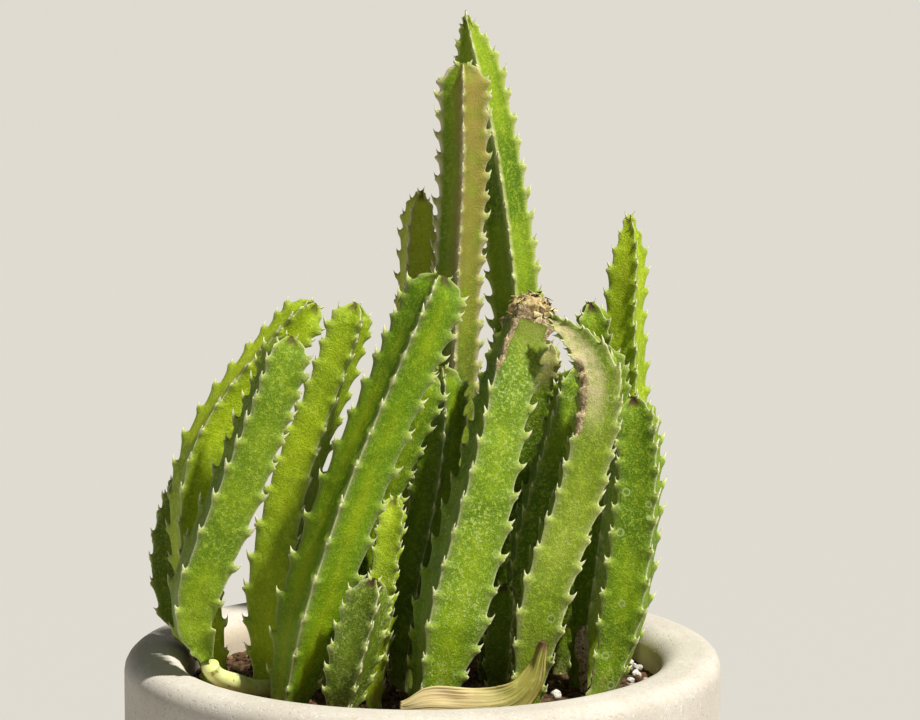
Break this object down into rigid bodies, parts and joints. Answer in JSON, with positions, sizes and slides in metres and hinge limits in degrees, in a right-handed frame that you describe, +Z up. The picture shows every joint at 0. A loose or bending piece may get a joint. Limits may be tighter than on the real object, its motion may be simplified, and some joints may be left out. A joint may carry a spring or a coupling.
{
  "type": "potted stapelia",
  "caption": "Clump of fleshy, angled, toothed succulent stems growing in soil in a thick-walled round stone pot with a rounded rim and a drain hole.",
  "frame": {"origin": "centre of the pot's underside, on the surface it stands on", "axes": "+Z up, +X to the right and +Y to the back as the plant is seen from its front"},
  "size_m": [0.24, 0.24, 0.4518],
  "materials": {
    "pot": "matt, finely speckled warm off-white",
    "soil": "crumbly dark brown potting mix",
    "stem": "fleshy yellow-green with a fine velvety bloom and pale-tipped teeth",
    "runner": "smooth pale yellow-green",
    "dried_leaf": "dry tan leaf with parallel veins",
    "dead_stump": "shrivelled dead stem",
    "perlite": "rough white mineral grains"
  },
  "bodies": {
    "root": {"dead_stump": "dead_stump", "dried_leaf": "dried_leaf", "pale_runner": "runner", "perlite_grain_1": "perlite", "perlite_grain_2": "perlite", "perlite_grain_3": "perlite", "perlite_grain_4": "perlite", "perlite_grain_5": "perlite", "perlite_grain_6": "perlite", "perlite_grain_7": "perlite", "perlite_grain_8": "perlite", "pot": "pot", "soil": "soil", "stem_centre_inner": "stem", "stem_centre_right": "stem", "stem_centre_tall": "stem", "stem_far_right": "stem", "stem_front_centre": "stem", "stem_front_left": "stem", "stem_front_left_rear": "stem", "stem_front_right_bent": "stem", "stem_front_short": "stem", "stem_front_small": "stem", "stem_inner_right": "stem", "stem_left_arched": "stem", "stem_left_inner": "stem", "stem_left_low": "stem", "stem_left_rear": "stem", "stem_rear_right_short": "stem", "stem_rear_right_tall": "stem", "stem_rear_small": "stem", "stem_rear_tallest": "stem", "stem_right_inner": "stem", "stem_shaded_short": "stem"}
  },
  "joints": []
}
